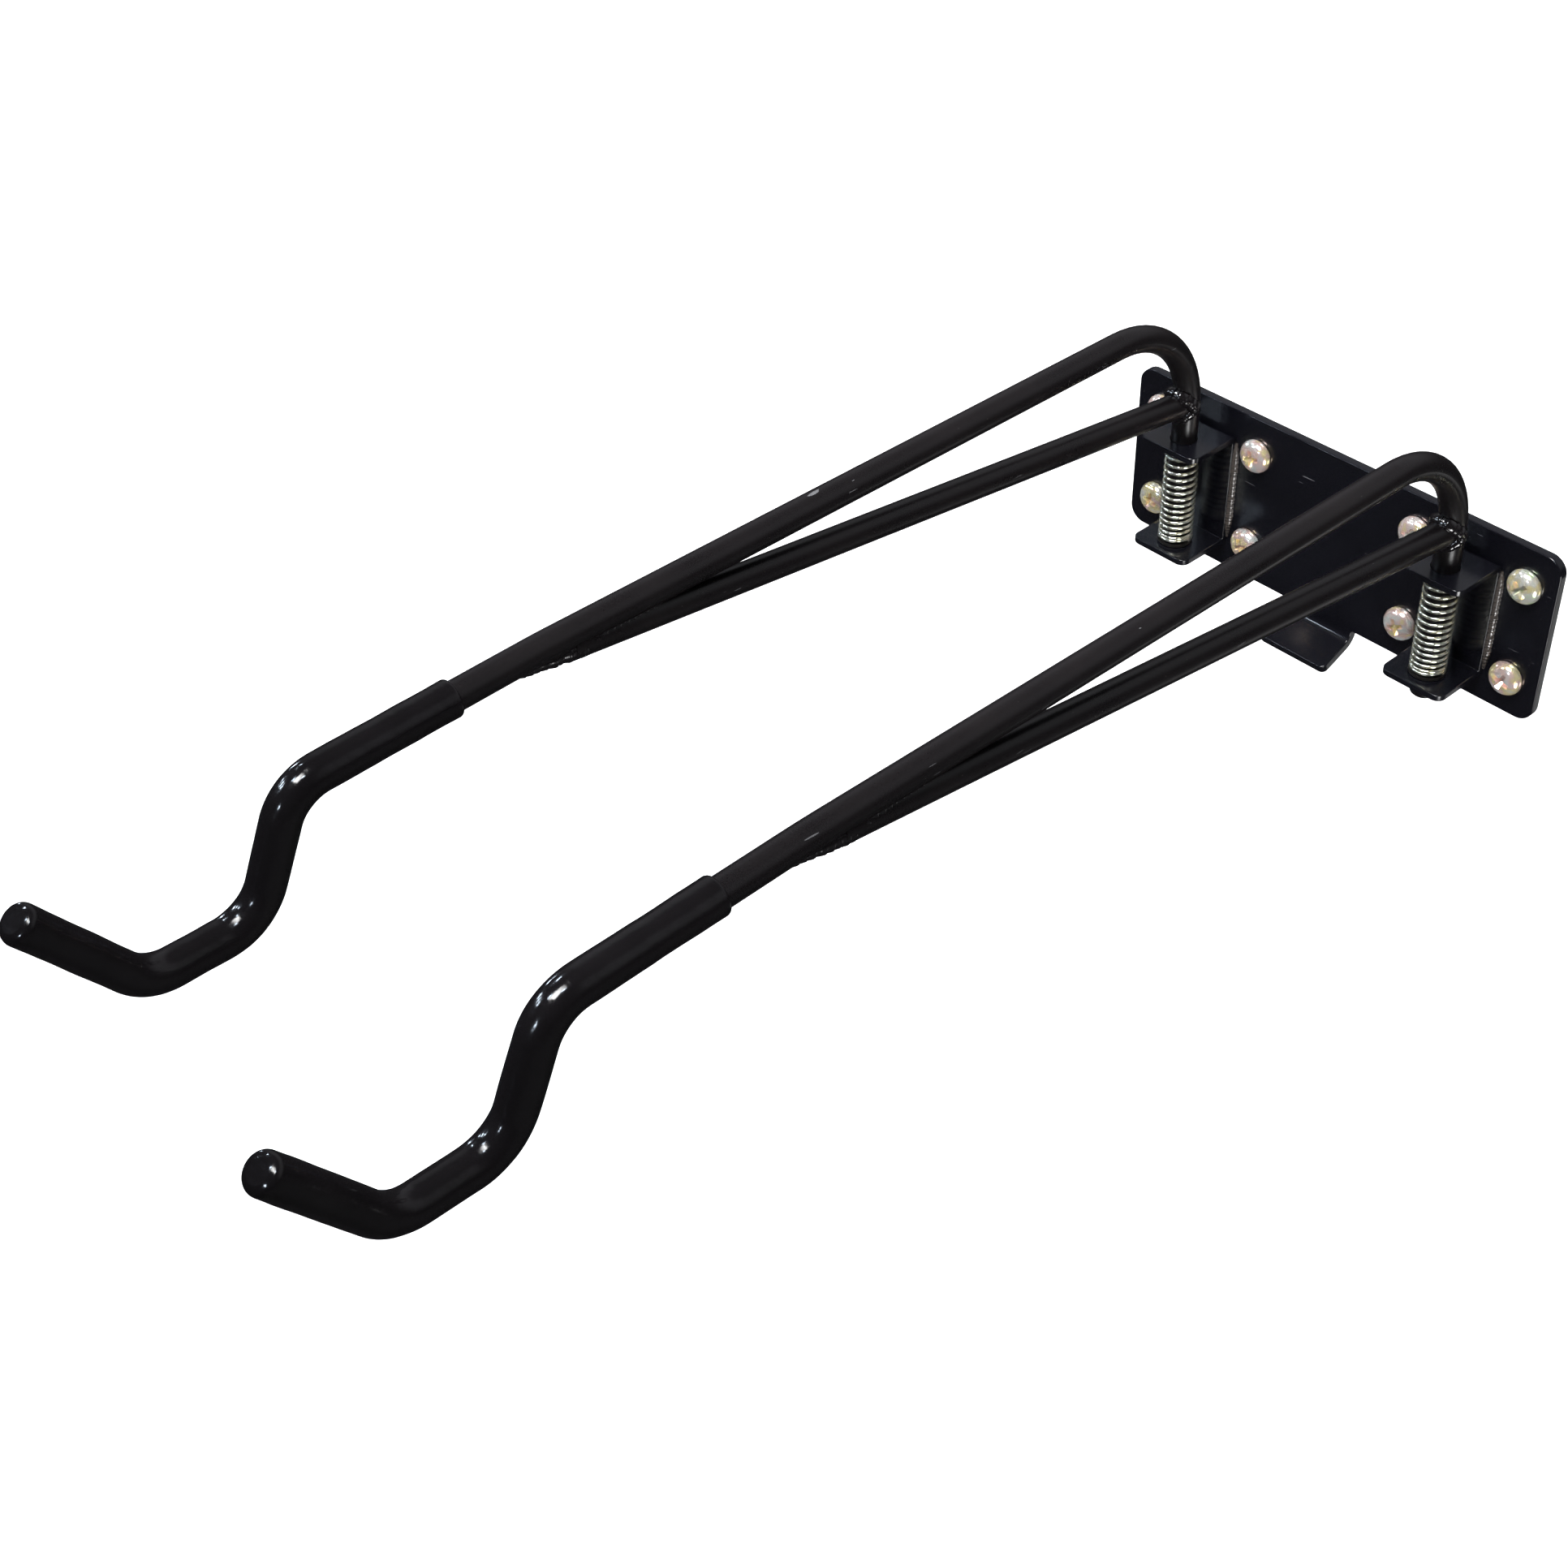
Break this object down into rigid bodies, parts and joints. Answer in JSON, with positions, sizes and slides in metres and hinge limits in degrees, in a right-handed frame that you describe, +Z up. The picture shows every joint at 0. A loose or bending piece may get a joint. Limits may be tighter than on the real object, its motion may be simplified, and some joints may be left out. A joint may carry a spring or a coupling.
{
  "type": "bicycle wall rack",
  "caption": "Wall rack for a bicycle: a steel plate with spring-loaded folding arms that end in sleeved hooks.",
  "frame": {"origin": "middle of the wall plate's back face, on the wall", "axes": "+X to the right as seen from the room, +Y into the wall, +Z up; the arms stick out along -Y"},
  "size_m": [0.23, 0.6175, 0.1602],
  "materials": {
    "powder_coat": "satin black powder coat",
    "coated_weld": "weld bead under semi-gloss black powder coat",
    "screw_zinc": "yellow-iridescent zinc plating",
    "spring_zinc": "zinc-plated drawn wire",
    "vinyl": "glossy black vinyl",
    "ring_steel": "phosphated spring steel"
  },
  "bodies": {
    "wall_bracket": {"wall_plate": "powder_coat", "left_bracket": "powder_coat", "right_bracket": "powder_coat", "left_bracket_welds": "coated_weld", "right_bracket_welds": "coated_weld", "left_upper_inner_screw": "screw_zinc", "left_upper_outer_screw": "screw_zinc", "left_lower_inner_screw": "screw_zinc", "left_lower_outer_screw": "screw_zinc", "right_upper_inner_screw": "screw_zinc", "right_upper_outer_screw": "screw_zinc", "right_lower_inner_screw": "screw_zinc", "right_lower_outer_screw": "screw_zinc"},
    "left_spring_body": {"left_spring": "spring_zinc"},
    "left_arm": {"left_arm_rod": "powder_coat", "left_brace_rod": "powder_coat", "left_front_weld": "coated_weld", "left_rear_weld": "coated_weld", "left_hook_sleeve": "vinyl", "left_retaining_ring": "ring_steel"},
    "right_spring_body": {"right_spring": "spring_zinc"},
    "right_arm": {"right_arm_rod": "powder_coat", "right_brace_rod": "powder_coat", "right_front_weld": "coated_weld", "right_rear_weld": "coated_weld", "right_hook_sleeve": "vinyl", "right_retaining_ring": "ring_steel"}
  },
  "joints": [
    {"name": "left_swing", "type": "hinge", "parent": "wall_bracket", "child": "left_spring_body", "pos_m": [-0.072, -0.023, 0], "axis": [0, 0, -1], "range_deg": [0, 90]},
    {"name": "left_lift", "type": "slide", "parent": "left_spring_body", "child": "left_arm", "axis": [0, 0, 1], "range_m": [0, 0.006], "stiffness_N_per_m": 2500, "springref_m": -0.0115, "deforming": ["left_spring"]},
    {"name": "right_swing", "type": "hinge", "parent": "wall_bracket", "child": "right_spring_body", "pos_m": [0.072, -0.023, 0], "axis": [0, 0, 1], "range_deg": [0, 90]},
    {"name": "right_lift", "type": "slide", "parent": "right_spring_body", "child": "right_arm", "axis": [0, 0, 1], "range_m": [0, 0.006], "stiffness_N_per_m": 2500, "springref_m": -0.0115, "deforming": ["right_spring"]}
  ]
}
